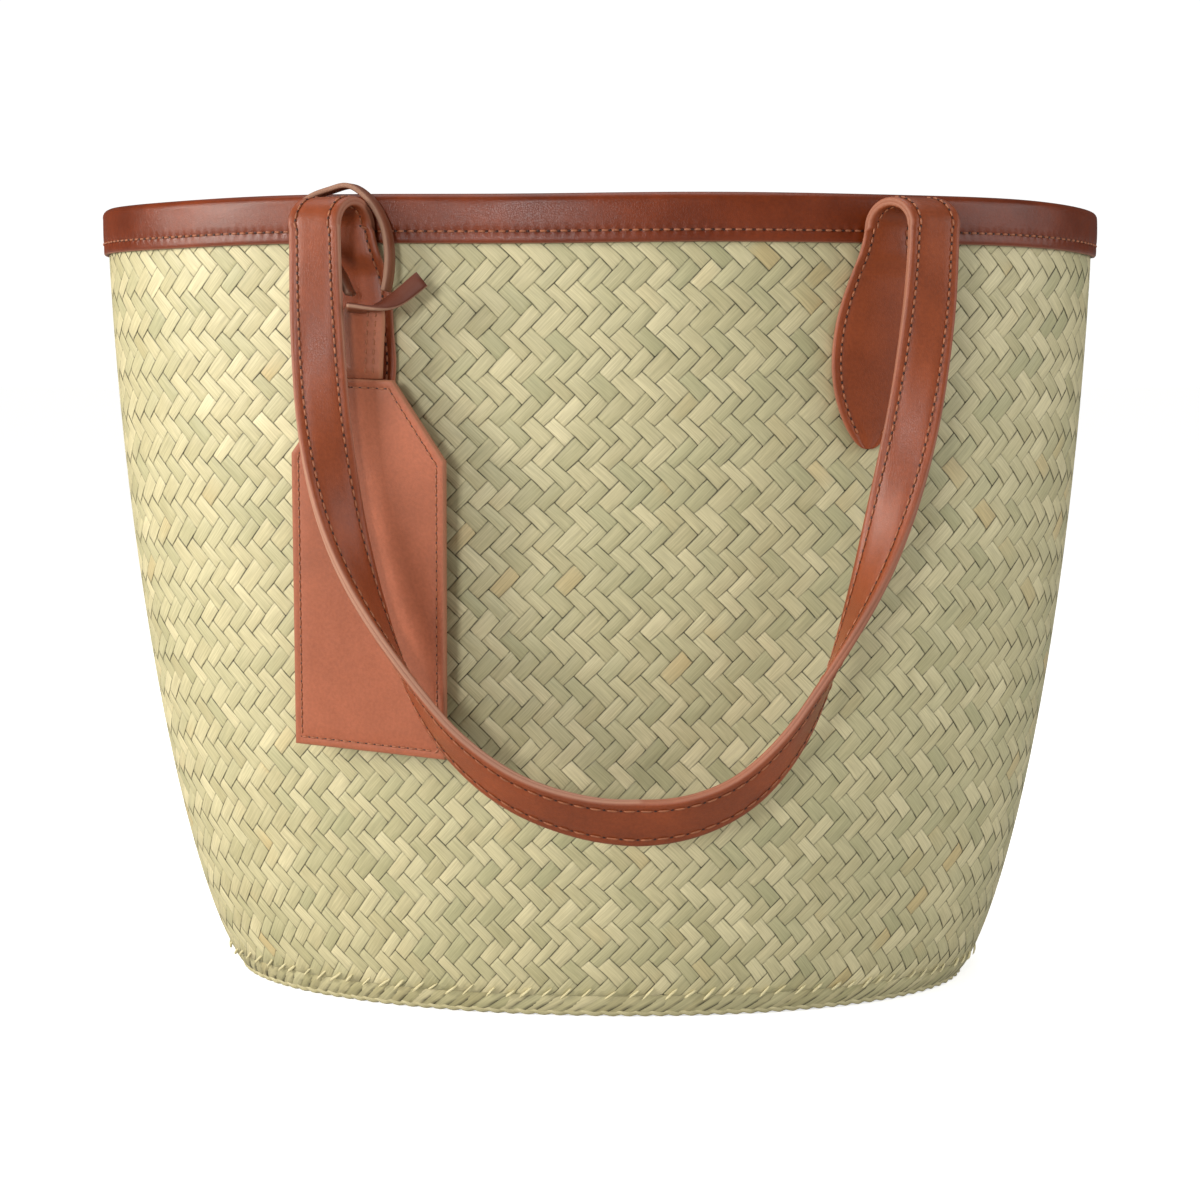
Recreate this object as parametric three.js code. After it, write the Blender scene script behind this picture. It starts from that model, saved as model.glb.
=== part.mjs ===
// A straw beach bag: an oval basket plaited from palm-leaf strips, bound at the rim with leather,
// with two long leather handles and a leather tag that hangs from a narrow strap.
//
// Millimetres, +Z up, +X to the right of a person facing the front, and the front is -Y.
// The origin is on the floor under the middle of the bag.
import * as THREE from 'three';

// ---- driving sizes ---------------------------------------------------------------------------
const HEIGHT = 296;                     // top of the plaited wall
const RIM = { length: 380, width: 207, fullness: 1.92 };
const BASE = { length: 282, width: 156, fullness: 2.06, turn: THREE.MathUtils.degToRad(-3.5) };
const HEEL_POWER = 0.676;               // how quickly the wall rises out of its rounded heel
const BELLY_POWER = 1.55;               // how far the belly stays out before it reaches the rim
const PLAIT = 2.4;                      // thickness of the plaited palm
const BASE_SHEET = 2.6;                 // and of the oval base
const BRAID_EXTRA = 0.8;                // the border braid is this much thicker than the wall
const GAP = 0.35;                       // clearance between pieces that touch

const BRAID_TOP = 8.5;                  // the wall is laced to the base's border braid here
const BINDING = { depth: 17, leather: 1.3, stitchUp: 4.1 };
const THREAD = 0.8;                     // diameter of the waxed thread

const HANDLE_X = 5;                     // the handles sit a little right of the middle
const STRAP = { width: 18.5, ply: 1.55, seat: 7.5, inset: 3.2 };
const TAB = { tipZ: 208, wideZ: 243, topZ: 284.5, halfTip: 1.2, halfWide: 16.5, axis: 89.5, lean: 0.085 };
const TAG = { half: 29.8, halfTop: 10, shoulder: 27, length: 132, ply: 1.35 };

const LEFT = -1;
const RIGHT = 1;
const FRONT = -1;
const BACK = 1;

// ---- finishes --------------------------------------------------------------------------------
const finish = (color, roughness) => new THREE.MeshStandardMaterial({ color, roughness, metalness: 0 });
const PALM = finish(0xc9c193, 0.75);
const RAFFIA = finish(0xe2d9b0, 0.7);
const LEATHER = finish(0x8f4a33, 0.42);
const LINING = finish(0x9a5238, 0.5);
const SEWING = finish(0xa3502c, 0.6);

const bag = new THREE.Group();

// ---- closed bodies from sections -------------------------------------------------------------
/** One closed body skinned over sections that all have the same even number of corners. */
function skin(sections, closes = false) {
  const corners = sections[0].length;
  const points = sections.flat();
  const faces = [];
  const quad = (a, b, c, d) => faces.push(a, b, c, a, c, d);
  const last = closes ? sections.length : sections.length - 1;
  for (let i = 0; i < last; i += 1) {
    const here = i * corners;
    const next = ((i + 1) % sections.length) * corners;
    for (let k = 0; k < corners; k += 1) {
      const m = (k + 1) % corners;
      quad(here + k, here + m, next + m, next + k);
    }
  }
  if (!closes) {
    const end = (sections.length - 1) * corners;
    for (let k = 0; k < corners / 2 - 1; k += 1) {
      quad(corners - 1 - k, corners - 2 - k, k + 1, k);
      quad(end + k, end + k + 1, end + corners - 2 - k, end + corners - 1 - k);
    }
  }
  return facingOut(points, faces);
}

/** The body's geometry, with its faces turned so that they point outwards. */
function facingOut(points, faces) {
  let volume = 0;
  for (let i = 0; i < faces.length; i += 3) {
    const [a, b, c] = [points[faces[i]], points[faces[i + 1]], points[faces[i + 2]]];
    volume += a.dot(b.clone().cross(c));
  }
  if (volume < 0) faces.reverse();
  const geometry = new THREE.BufferGeometry().setFromPoints(points);
  geometry.setIndex(faces);
  geometry.computeVertexNormals();
  return geometry;
}

function add(name, geometry, material) {
  const mesh = new THREE.Mesh(geometry, material);
  mesh.name = name;
  bag.add(mesh);
}

const point = (x, y, z) => new THREE.Vector3(x, y, z);
const steps = (count) => Array.from({ length: count + 1 }, (_, i) => i / count);
const mix = THREE.MathUtils.lerp;
const ease = (t) => THREE.MathUtils.smoothstep(t, 0, 1);

// ---- the basket's shape ----------------------------------------------------------------------
/** The plan of the wall at height z: a full oval that narrows and turns slightly towards the base. */
function plan(z) {
  const narrowing = (1 - (z / HEIGHT) ** HEEL_POWER) ** BELLY_POWER;
  return {
    a: mix(RIM.length, BASE.length, narrowing) / 2,
    b: mix(RIM.width, BASE.width, narrowing) / 2,
    power: mix(RIM.fullness, BASE.fullness, narrowing),
    turn: BASE.turn * narrowing,
  };
}

/** A point of the wall at a plan angle (0 is the front middle), moved outwards by `out`. */
function onWall(angle, z, out) {
  const { a, b, power, turn } = plan(z);
  const s = Math.sin(angle);
  const c = -Math.cos(angle);
  const x = a * Math.sign(s) * Math.abs(s) ** (2 / power);
  const y = b * Math.sign(c) * Math.abs(c) ** (2 / power);
  const nx = Math.sign(x) * Math.abs(x / a) ** (power - 1) / a;
  const ny = Math.sign(y) * Math.abs(y / b) ** (power - 1) / b;
  const scale = out / Math.hypot(nx, ny);
  return point(x + nx * scale, y + ny * scale, z).applyAxisAngle(point(0, 0, 1), turn);
}

/** The same, for a given x on the front or the back face. */
function onFace(side, x, z, out) {
  let low = -Math.PI / 2;
  let high = Math.PI / 2;
  const at = (t) => onWall(side === FRONT ? t : Math.PI - t, z, out);
  for (let i = 0; i < 40; i += 1) {
    const middle = (low + high) / 2;
    if (at(middle).x < x) low = middle;
    else high = middle;
  }
  return at((low + high) / 2);
}

const AROUND = 48;
const angles = steps(AROUND).slice(0, -1).map((t) => t * 2 * Math.PI + 0.01);

/** A band round the basket whose cross-section is a list of [height, offset] corners. */
const band = (section) => skin(
  angles.map((angle) => section.map(([z, out]) => onWall(angle, z, out))), true);

/** A band that follows the wall between two heights, `outer` to `inner` from its surface. */
function shell(from, to, rows, outer, inner, crowd = 1) {
  const heights = steps(rows).map((t) => mix(from, to, t ** crowd));
  return band([
    ...heights.map((z) => [z, outer]),
    ...heights.toReversed().map((z) => [z, inner]),
  ]);
}

// ---- basket ----------------------------------------------------------------------------------
add('basket_wall', shell(BRAID_TOP + GAP, HEIGHT - GAP - BINDING.leather, 9, 0, -PLAIT, 1.7), PALM);
add('base_border_braid', shell(0, BRAID_TOP, 3, 0, -PLAIT - BRAID_EXTRA, 1.4), PALM);

{
  // The flat oval base lies inside the border braid.
  const inset = PLAIT + BRAID_EXTRA + GAP;
  const sheet = (z) => angles.map((angle) => onWall(angle, 0, -inset).setZ(z));
  add('basket_base', skin([sheet(0), sheet(BASE_SHEET)]), PALM);
}

{
  // Raffia lacing zigzags over the seam between the wall and the border braid.
  const zigzags = 44;
  const r = 0.55;
  const sections = steps(zigzags * 2).slice(0, -1).map((t, i) => {
    const z = BRAID_TOP + (i % 2 ? 1.9 : -1.5);
    const angle = t * 2 * Math.PI;
    return [[0, -r], [r, 0], [0, r], [-r, 0]].map(
      ([out, up]) => onWall(angle, z + up, GAP + r + 0.35 + out));
  });
  add('base_lacing', skin(sections, true), RAFFIA);
}

// The leather binding is one strip folded over the rim.
const bindingOut = GAP + BINDING.leather;
const bindingIn = -PLAIT - GAP - BINDING.leather;
{
  const low = HEIGHT - BINDING.depth;
  const crown = (bindingOut + bindingIn) / 2;
  const under = HEIGHT - BINDING.leather;
  add('rim_binding', band([
    [low, bindingOut], [HEIGHT - 2, bindingOut], [HEIGHT - 0.6, bindingOut - 0.6],
    [HEIGHT, crown],
    [HEIGHT - 0.6, bindingIn + 0.6], [HEIGHT - 2, bindingIn], [low, bindingIn],
    [low, -PLAIT - GAP], [under, -PLAIT - GAP + 0.2], [under, GAP - 0.2], [low, GAP],
    [low, (GAP + bindingOut) / 2],
  ]), LEATHER);

  const seam = low + BINDING.stitchUp;
  const r = THREAD / 2;
  const row = (middle) => band([
    [seam - r, middle], [seam, middle + r], [seam + r, middle], [seam, middle - r]]);
  add('rim_binding_outer_thread', row(bindingOut + GAP + r), SEWING);
  add('rim_binding_inner_thread', row(bindingIn - GAP - r), SEWING);
}

// ---- handle tabs -----------------------------------------------------------------------------
const plyGap = 0.3;
const doubled = 2 * STRAP.ply + plyGap;              // the strap is two plies sewn together
const sew = STRAP.inset;

/** Half the width of a tab at height z: a leaf with a pointed lower end. */
function tabHalf(z) {
  const strap = STRAP.width / 2;
  if (z > TAB.wideZ) {
    return mix(TAB.halfWide, strap, ease(((z - TAB.wideZ) / (TAB.topZ - TAB.wideZ)) ** 1.25));
  }
  const t = (z - TAB.tipZ) / (TAB.wideZ - TAB.tipZ);
  return mix(TAB.halfTip, TAB.halfWide, Math.sin(t * Math.PI / 2) ** 0.62);
}

/** The x of the tab's middle line, which leans outwards as it rises. */
const tabX = (hand, z) => HANDLE_X + hand * (TAB.axis + TAB.lean * (z - TAB.tipZ));

/** How far the tab's inner side stands off the wall: it steps out over the rim binding. */
function tabRise(z) {
  const overBinding = bindingOut + GAP + THREAD + GAP;
  return mix(GAP + 0.05, overBinding, ease((z - 268) / 8));
}

/** A point on a tab: `across` from -1 to 1 of its half width, `out` from its inner side. */
function onTab(side, hand, across, z, out) {
  const x = tabX(hand, z) + across * tabHalf(z) * 0.95;
  return onFace(side, x, z, tabRise(z) + out);
}

const tabHeights = [0, 0.03, 0.09, 0.18, 0.3, 0.48, 0.7, 0.79, 0.87, 1].map(
  (t) => mix(TAB.tipZ, TAB.topZ, t));
const acrossTab = [-1, -0.4, 0.4, 1];

function tabPly(side, hand, inner, outer) {
  return skin(tabHeights.map((z) => [
    ...acrossTab.map((w) => onTab(side, hand, w, z, outer)),
    ...acrossTab.toReversed().map((w) => onTab(side, hand, w, z, inner)),
  ]));
}

/** The seam runs round the tab, `sew` inside its edge, and is open at the top. */
function tabThread(side, hand) {
  const low = TAB.tipZ + 1.6 * sew;
  const rise = steps(9).map((t) => mix(low, TAB.topZ, t ** 1.5));
  const inset = (z) => Math.max(0, 1 - sew / tabHalf(z)) * (z === low ? 0.02 : 1);
  const route = [
    ...rise.toReversed().map((z) => [-inset(z), z]),
    ...rise.slice(1).map((z) => [inset(z), z]),
  ];
  const r = THREAD / 2;
  return skin(route.map(([across, z], i) => {
    const [a, b] = [route[Math.max(0, i - 1)], route[Math.min(route.length - 1, i + 1)]];
    const run = onTab(side, hand, b[0], b[1], 0).sub(onTab(side, hand, a[0], a[1], 0)).normalize();
    const middle = onTab(side, hand, across, z, doubled + 2 * GAP + r);
    const outwards = onTab(side, hand, across, z, doubled + 2).sub(middle).normalize();
    const aside = outwards.clone().cross(run).normalize();
    return [[0, -r], [r, 0], [0, r], [-r, 0]].map(
      ([o, s]) => middle.clone().addScaledVector(outwards, o).addScaledVector(aside, s));
  }));
}

/** A leather patch inside the wall backs the tab and takes its stitches. */
function innerPatch(side, hand) {
  const top = HEIGHT - BINDING.depth - 1.5;
  const heights = steps(5).map((t) => mix(TAB.tipZ + 4, top, t));
  const half = (z) => Math.min(tabHalf(z), 13);
  const outer = -PLAIT - GAP - 0.5;                 // clear of the wall, whose facets sag inwards
  return skin(heights.map((z) => [
    ...acrossTab.map((w) => onFace(side, tabX(hand, z) + w * half(z), z, outer)),
    ...acrossTab.toReversed().map((w) => onFace(side, tabX(hand, z) + w * half(z), z, outer - 1.4)),
  ]));
}

// ---- hanging handles -------------------------------------------------------------------------
// Half of a hanging strap's middle line: [distance from the handle's middle, forward, height].
const HANG = [
  [102, 109.5, TAB.topZ], [101.5, 110, 250], [99.3, 111, 216], [94, 113, 186], [86, 116, 161],
  [70, 120.5, 127], [57, 123, 107.5], [40, 124.5, 92.5], [20, 125, 84], [0, 125, 81.5],
];
const SWAY = 8;                          // the bottom of the loop hangs a little to the right
const TWIST_START = 45;                  // length of strap that hangs flat before it twists
const FOLD_YAW = THREE.MathUtils.degToRad(18);
const FOLD_SETTLE = 60;                  // length over which that yaw dies out
const TILT = THREE.MathUtils.degToRad(24);  // the face leans down at the bottom of the loop
const SPREAD = 6.5;                      // the right leg starts this much further out than the left
const SPREAD_FROM = 170;                 // height below which the two legs match

const loopPoints = [
  ...HANG.map(([across, out, z]) => point(across, -out, z)),
  ...HANG.slice(0, -1).toReversed().map(([across, out, z]) => point(-across, -out, z)),
];
const middleLine = new THREE.CatmullRomCurve3(loopPoints, false, 'centripetal');
const halfLength = middleLine.getLength() / 2;

/**
 * Middle, width direction and face direction of the front strap at a share of its length, from the
 * left end (0) to the right end (1). The strap hangs with its lining to the front and makes half a
 * turn on the way down each leg, so its outside faces the front and a little down at the bottom.
 */
function strapFrame(share) {
  const hand = share < 0.5 ? LEFT : RIGHT;
  const fromTop = Math.min(share, 1 - share);
  const down = 2 * halfLength * fromTop;
  const run = middleLine.getTangentAt(fromTop);
  const inside = run.clone().cross(point(0, -1, 0)).normalize();
  const forward = inside.clone().cross(run);
  const t = Math.max(0, (down - TWIST_START) / (halfLength - TWIST_START));
  const twist = Math.PI * (t + ease(t)) / 2 - TILT * ease(2 * t - 1)
    - FOLD_YAW * (1 - ease(down / FOLD_SETTLE));
  const wide = inside.multiplyScalar(-Math.cos(twist)).addScaledVector(forward, Math.sin(twist));
  const face = run.cross(wide);
  const middle = middleLine.getPointAt(fromTop);
  const slide = SWAY * (1 - (middle.x / HANG[0][0]) ** 2) ** 3;
  for (const v of [middle, wide, face]) v.x *= hand;
  const spread = hand === RIGHT ? SPREAD * ease((middle.z - SPREAD_FROM) / (TAB.topZ - SPREAD_FROM)) : 0;
  middle.x += HANDLE_X + slide + spread;
  return { middle, wide, face };
}

/** Mirrors a point of the front handle to the side that is asked for. */
const toSide = (side, p) => (side === FRONT ? p : point(p.x, -p.y, p.z));

const SECTIONS = 34;

/**
 * A layer of the strap: its corners lie at `widths` across the strap, and it reaches from `near` to
 * `far` through the thickness, where + is the lining side.
 */
function strapLayer(side, widths, near, far) {
  return skin(steps(SECTIONS).map((share) => {
    const { middle, wide, face } = strapFrame(share);
    const corner = (w, n) => toSide(
      side, middle.clone().addScaledVector(wide, w).addScaledVector(face, n));
    return [
      ...widths.map((w) => corner(w, near)), ...widths.toReversed().map((w) => corner(w, far))];
  }));
}

/** The fold is the piece of strap that bends over between the tab and the hanging leg. */
function fold(side, hand) {
  const leg = strapFrame(hand === LEFT ? 0 : 1);
  const root = onTab(FRONT, hand, 0, TAB.topZ, doubled / 2);
  const clear = 0.09;                               // radians left open at each end
  const half = (STRAP.width / 2) * 0.98;
  const rootWide = onTab(FRONT, hand, 1, TAB.topZ, 0).sub(onTab(FRONT, hand, -1, TAB.topZ, 0)).normalize();
  const top = STRAP.seat + 1;
  return skin(steps(7).map((t) => {
    const turn = mix(clear, Math.PI - clear, t);
    const middle = root.clone().lerp(leg.middle, (1 - Math.cos(turn)) / 2);
    middle.z += top * Math.sin(turn);
    const outwards = leg.middle.clone().sub(root).setZ(0).normalize().multiplyScalar(-Math.cos(turn));
    outwards.z = Math.sin(turn);
    const wide = rootWide.clone().lerp(leg.wide.clone().multiplyScalar(hand), t).normalize();
    return [[-half, -1], [half, -1], [half, 1], [-half, 1]].map(([w, n]) => toSide(
      side, middle.clone().addScaledVector(wide, w).addScaledVector(outwards, n * doubled / 2)));
  }));
}

for (const [side, place] of [[FRONT, 'front'], [BACK, 'back']]) {
  for (const [hand, end] of [[LEFT, 'left'], [RIGHT, 'right']]) {
    add(`${place}_${end}_tab_lining`, tabPly(side, hand, 0, STRAP.ply), LINING);
    add(`${place}_${end}_tab`, tabPly(side, hand, STRAP.ply + plyGap, doubled), LEATHER);
    add(`${place}_${end}_tab_thread`, tabThread(side, hand), SEWING);
    add(`${place}_${end}_inner_patch`, innerPatch(side, hand), LEATHER);
    add(`${place}_${end}_fold`, fold(side, hand), LEATHER);
  }
  const edge = STRAP.width / 2;
  const row = edge - sew;
  const r = THREAD / 2;
  const outside = -doubled / 2;
  const widths = [-edge, -row, row, edge];
  add(`${place}_strap_lining`, strapLayer(side, widths, plyGap / 2, doubled / 2), LINING);
  add(`${place}_strap`, strapLayer(side, widths, -plyGap / 2, outside), LEATHER);
  for (const [name, w] of [['inner', -row], ['outer', row]]) {
    add(`${place}_strap_${name}_thread`,
      strapLayer(side, [w - r, w + r], outside - GAP, outside - GAP - THREAD), SEWING);
  }
}

// ---- tag -------------------------------------------------------------------------------------
// The tag hangs between the front wall and the left leg of the front handle. Its own axes are
// `across` to the right, `down` along the plate and `out` towards the front.
const TAG_AT = point(-79.4, -103.2, 232.6);          // middle of the plate's top edge
const TAG_YAW = THREE.MathUtils.degToRad(22);
const TAG_PITCH = THREE.MathUtils.degToRad(4);       // the lower end leans back to the wall
const TAG_ROLL = THREE.MathUtils.degToRad(-2.2);     // and hangs a little to the left
const SLIT = point(-81.5, -104, 257.5);              // the tag hangs on the strap here
const TAG_FORWARD = point(0, -1, 0).applyAxisAngle(point(0, 0, 1), -TAG_YAW);

function onTag(across, down, out) {
  return point(across, -out, -down)
    .applyAxisAngle(point(1, 0, 0), TAG_PITCH)
    .applyAxisAngle(point(0, 0, 1), -TAG_YAW)
    .add(TAG_AT).sub(SLIT)
    .applyAxisAngle(TAG_FORWARD, TAG_ROLL)
    .add(SLIT);
}

/** A plate of the tag's outline, shrunk by `inset`, between two distances from its mid-plane. */
function tagPlate(inset, n0, n1) {
  const { half, halfTop, shoulder, length } = TAG;
  const corner = 0.42 * inset;                       // keeps the chamfer's margin even
  const rows = [
    [inset, halfTop - corner], [shoulder + corner, half - inset], [length - inset, half - inset],
  ];
  return skin(rows.map(([down, w]) => [
    onTag(-w, down, n1), onTag(w, down, n1), onTag(w, down, n0), onTag(-w, down, n0)]));
}

/** A loop of thread round the plate, laid on its front. */
function tagThread() {
  const { half, halfTop, shoulder, length } = TAG;
  const e = 2.9;
  const c = 0.42 * e;
  const route = [
    [-halfTop + c, e], [halfTop - c, e], [half - e, shoulder + c],
    [half - e, length - e], [-half + e, length - e], [-half + e, shoulder + c],
  ];
  const front = TAG.ply + plyGap / 2 + GAP;
  return skin(route.map(([w, d]) => {
    const grow = 1 + THREAD / Math.hypot(w, d - length / 2);
    const outer = [w * grow, (d - length / 2) * grow + length / 2];
    return [
      onTag(w, d, front), onTag(...outer, front),
      onTag(...outer, front + THREAD), onTag(w, d, front + THREAD)];
  }), true);
}

add('tag_front_panel', tagPlate(0, plyGap / 2, plyGap / 2 + TAG.ply), LEATHER);
add('tag_back_panel', tagPlate(0, -plyGap / 2 - TAG.ply, -plyGap / 2), LINING);
add('tag_thread', tagThread(), SEWING);

{
  // The neck joins the plate to the narrow strap, and has the slit that the strap is drawn through.
  const half = 8.5;
  const rows = [[-GAP, 0], [-8, 0.4], [-16, 0.9], [-23, 1.5], [-25.5, 2]];
  add('tag_neck', skin(rows.map(([down, lean]) => {
    const w = down < -24 ? half * 0.8 : half;
    const shift = -2.6 + lean;
    return [
      onTag(shift - w, down, 1.2), onTag(shift + w, down, 1.2),
      onTag(shift + w, down, -1.2), onTag(shift - w, down, -1.2)];
  })), LEATHER);
}

/** A narrow leather strip along a route; `flat` is the direction of its width, `half` half of it. */
function strip(route, flat, half, count) {
  const thick = 0.9;
  const line = new THREE.CatmullRomCurve3(route.map((p) => point(...p)));
  return skin(steps(count).map((t) => {
    const middle = line.getPointAt(t);
    const run = line.getTangentAt(t);
    const thin = run.clone().cross(flat).normalize();
    const wide = thin.clone().cross(run);
    return [[-1, -1], [1, -1], [1, 1], [-1, 1]].map(([w, n]) => middle.clone()
      .addScaledVector(wide, w * half).addScaledVector(thin, n * thick));
  }));
}

// The narrow strap goes up from the neck, over the left fold of the front handle, behind it, round its
// left edge and back down inside the fold.
add('tag_lanyard', strip([
  [-72.8, -105, 262.6], [-71.2, -104.8, 268], [-70.8, -103.4, 276.5], [-72.6, -101, 286],
  [-78.2, -98.2, 294.6], [-86, -96, 298.8], [-93, -93.8, 297.6], [-99.8, -92.8, 295], [-104.6, -93.2, 290.5],
  [-105.2, -97.2, 284], [-100, -100.2, 278.8], [-91, -101.8, 271.5], [-85.5, -104.8, 261.5],
], point(0.2, 1, 0).normalize(), 2.9, 36), LEATHER);

// Its free end has come through the slit in the neck, and sticks out to the right.
add('tag_lanyard_tail', strip([
  [-86, -111.7, 256.8], [-78, -111.5, 256.6], [-70, -111.2, 259.2], [-60.5, -111, 266.5],
], point(0, -0.45, 0.9).normalize(), 3.4, 8), LEATHER);

export default bag;
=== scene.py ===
"""A straw beach bag: plaited palm leaf, a leather-bound rim, two leather handles and a leather tag.

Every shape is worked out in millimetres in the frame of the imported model, and becomes metres in its
mesh. +Z is up, -Y is the front with the tag, and +X is to the right of a person facing it.
"""
import math

import bmesh
import bpy
import numpy as np
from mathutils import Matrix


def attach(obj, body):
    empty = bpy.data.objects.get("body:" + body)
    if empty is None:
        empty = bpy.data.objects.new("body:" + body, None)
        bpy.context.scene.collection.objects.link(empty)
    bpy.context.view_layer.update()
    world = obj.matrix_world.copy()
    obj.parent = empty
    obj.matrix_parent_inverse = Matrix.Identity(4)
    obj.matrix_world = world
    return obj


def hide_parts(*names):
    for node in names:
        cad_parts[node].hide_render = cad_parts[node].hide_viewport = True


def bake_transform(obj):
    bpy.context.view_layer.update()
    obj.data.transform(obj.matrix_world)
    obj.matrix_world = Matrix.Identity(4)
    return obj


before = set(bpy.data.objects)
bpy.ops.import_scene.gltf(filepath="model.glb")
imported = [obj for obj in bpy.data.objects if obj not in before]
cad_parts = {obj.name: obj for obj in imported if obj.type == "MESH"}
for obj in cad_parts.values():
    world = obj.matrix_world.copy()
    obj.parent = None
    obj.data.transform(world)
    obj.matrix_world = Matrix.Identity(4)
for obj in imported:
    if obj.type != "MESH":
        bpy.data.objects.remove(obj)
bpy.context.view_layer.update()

scene = bpy.context.scene


# ---- camera ----------------------------------------------------------------------------------
# A long lens almost a metre away, a little below the rim, tilted six degrees down.
lens = bpy.data.cameras.new("camera")
lens.lens = 67.68
lens.sensor_width = 36
camera = bpy.data.objects.new("camera", lens)
camera.location = (0, -0.885, 0.236)
camera.rotation_euler = (math.pi / 2 - 0.102, 0, 0)
scene.collection.objects.link(camera)
scene.camera = camera


# ---- studio ----------------------------------------------------------------------------------
# A white sweep under soft light: a large softbox at the left, a second one at the front left that
# puts the broad shine on the rim, one overhead, and white walls all round.
def linear(hex_code):
    """The colour of an sRGB hex code in linear light, with an alpha of 1."""
    channels = [int(hex_code[i:i + 2], 16) / 255 for i in (0, 2, 4)]
    return [c / 12.92 if c <= 0.04045 else ((c + 0.055) / 1.055) ** 2.4 for c in channels] + [1]


def add_node(tree, kind, settings=(), **inputs):
    """A node of a kind, with its settings; each input is a value or the socket it is linked from.
    An input is named by its socket's name, or by i and its number where names repeat."""
    made = tree.nodes.new("ShaderNode" + kind)
    for key, value in dict(settings).items():
        setattr(made, key, value)
    for key, value in inputs.items():
        number = key[1:] if key[0] == "i" and key[1:].isdigit() else None
        socket = made.inputs[int(number) if number else key.replace("_", " ")]
        if isinstance(value, bpy.types.NodeSocket):
            tree.links.new(value, socket)
        else:
            socket.default_value = value
    return made


def new_material(name, **values):
    """A material with its node tree and its shader, whose named sockets are set to the values."""
    material = bpy.data.materials.new(name)
    material.use_nodes = True
    shader = material.node_tree.nodes["Principled BSDF"]
    for key, value in values.items():
        shader.inputs[key.replace("_", " ")].default_value = value
    return material, material.node_tree, shader


sweep_material, tree, shader = new_material("matt white sweep", Roughness=0.9, Specular_IOR_Level=0.1,
                                            Emission_Color=linear("ffffff"))
seen = add_node(tree, "LightPath")                        # brighter to the eye than as a lamp
glow = add_node(tree, "MapRange", i0=seen.outputs["Is Camera Ray"], i3=0.04, i4=0.62)
paint = add_node(tree, "Mix", {"data_type": "RGBA"}, i0=seen.outputs["Is Camera Ray"],
                 i6=linear("b2b2b0"), i7=linear("f2f2f0"))
tree.links.new(paint.outputs[2], shader.inputs["Base Color"])
tree.links.new(glow.outputs[0], shader.inputs["Emission Strength"])
SWEEP = 30                                                # half its width, in metres
sweep_mesh = bpy.data.meshes.new("sweep")
sweep_mesh.from_pydata([(-SWEEP, -SWEEP, 0), (SWEEP, -SWEEP, 0), (SWEEP, SWEEP, 0), (-SWEEP, SWEEP, 0)],
                       [], [(0, 1, 2, 3)])
sweep_mesh.materials.append(sweep_material)
sweep = bpy.data.objects.new("sweep", sweep_mesh)
scene.collection.objects.link(sweep)

world = bpy.data.worlds.new("white walls")
world.use_nodes = True
tree = world.node_tree
walls = tree.nodes["Background"]
WALLS = 0.45                        # light of the walls on whatever stands between them
WALLS_MIRRORED = 0.09               # as a mirror shows them, because dark screens hide most of them
WALLS_SEEN = 1.05                   # and behind the bag
backdrop = add_node(tree, "Background", Color=linear("ffffff"), Strength=WALLS_SEEN)
seen = add_node(tree, "LightPath")
mirrored = add_node(tree, "MapRange", i0=seen.outputs["Is Glossy Ray"], i3=WALLS, i4=WALLS_MIRRORED)
tree.links.new(mirrored.outputs[0], walls.inputs["Strength"])
shown = add_node(tree, "MixShader", i0=seen.outputs["Is Camera Ray"],
                 i1=walls.outputs[0], i2=backdrop.outputs[0])
walls.inputs["Color"].default_value = linear("ffffff")
tree.links.new(shown.outputs[0], tree.nodes["World Output"].inputs["Surface"])
scene.world = world
scene.view_settings.view_transform = "Standard"

AIM = np.array([0, 0, 0.16])        # every lamp looks at the middle of the bag
for name, place, size, power, tint in (
        ("left softbox", (-1.6, -0.62, 0.62), 0.8, 27, "fffaf2"),
        ("front left strip", (-0.5, -1.85, 0.46), 0.3, 11, "ffffff"),
        ("right softbox", (1.5, -0.5, 0.6), 0.9, 7, "ffffff"),
        ("overhead softbox", (-0.1, 0.2, 1.7), 1.2, 9, "ffffff")):
    light = bpy.data.lights.new(name, "AREA")
    light.size = size
    light.energy = power
    light.color = linear(tint)[:3]
    lamp = bpy.data.objects.new(name, light)
    lamp.location = place
    towards = AIM - place
    lamp.rotation_euler = (math.atan2(math.hypot(*towards[:2]), -towards[2]), 0,
                           math.atan2(-towards[0], towards[1]))
    scene.collection.objects.link(lamp)


# ---- plaited wall ----------------------------------------------------------------------------
# Dried palm leaf split into strips and plaited on the slant, each strip over two and under two.
# The plait is worked round and round as one tube, so every strip climbs the whole wall.
HEIGHT = 296
RIM = (380, 207, 1.92)              # length, width and fullness of the oval at the rim
BASE = (282, 156, 2.06)             # and at the base
BASE_TURN = math.radians(-3.5)
HEEL, BELLY = 0.676, 1.55
BRAID_TOP = 8.5
PLAIT = 2.4                         # thickness of the wall
CELLS_ROUND = 118                   # strips of each slant, counted round the wall
CELL_UP = 7.65                      # height of one row of floats
PLAIT_TOP = 286                     # the plait goes on up under the binding

rng = np.random.default_rng(7)


def plan(z):
    """Half length, half width, fullness and turn of the oval at a height: the rim's values at the
    top pass into the base's by a share of (1 - (z / HEIGHT) ** HEEL) ** BELLY."""
    share = (1 - (np.clip(z, 0, HEIGHT) / HEIGHT) ** HEEL) ** BELLY
    length, width, fullness = (r + (b - r) * share for r, b in zip(RIM, BASE))
    return length / 2, width / 2, fullness, BASE_TURN * share


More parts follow.
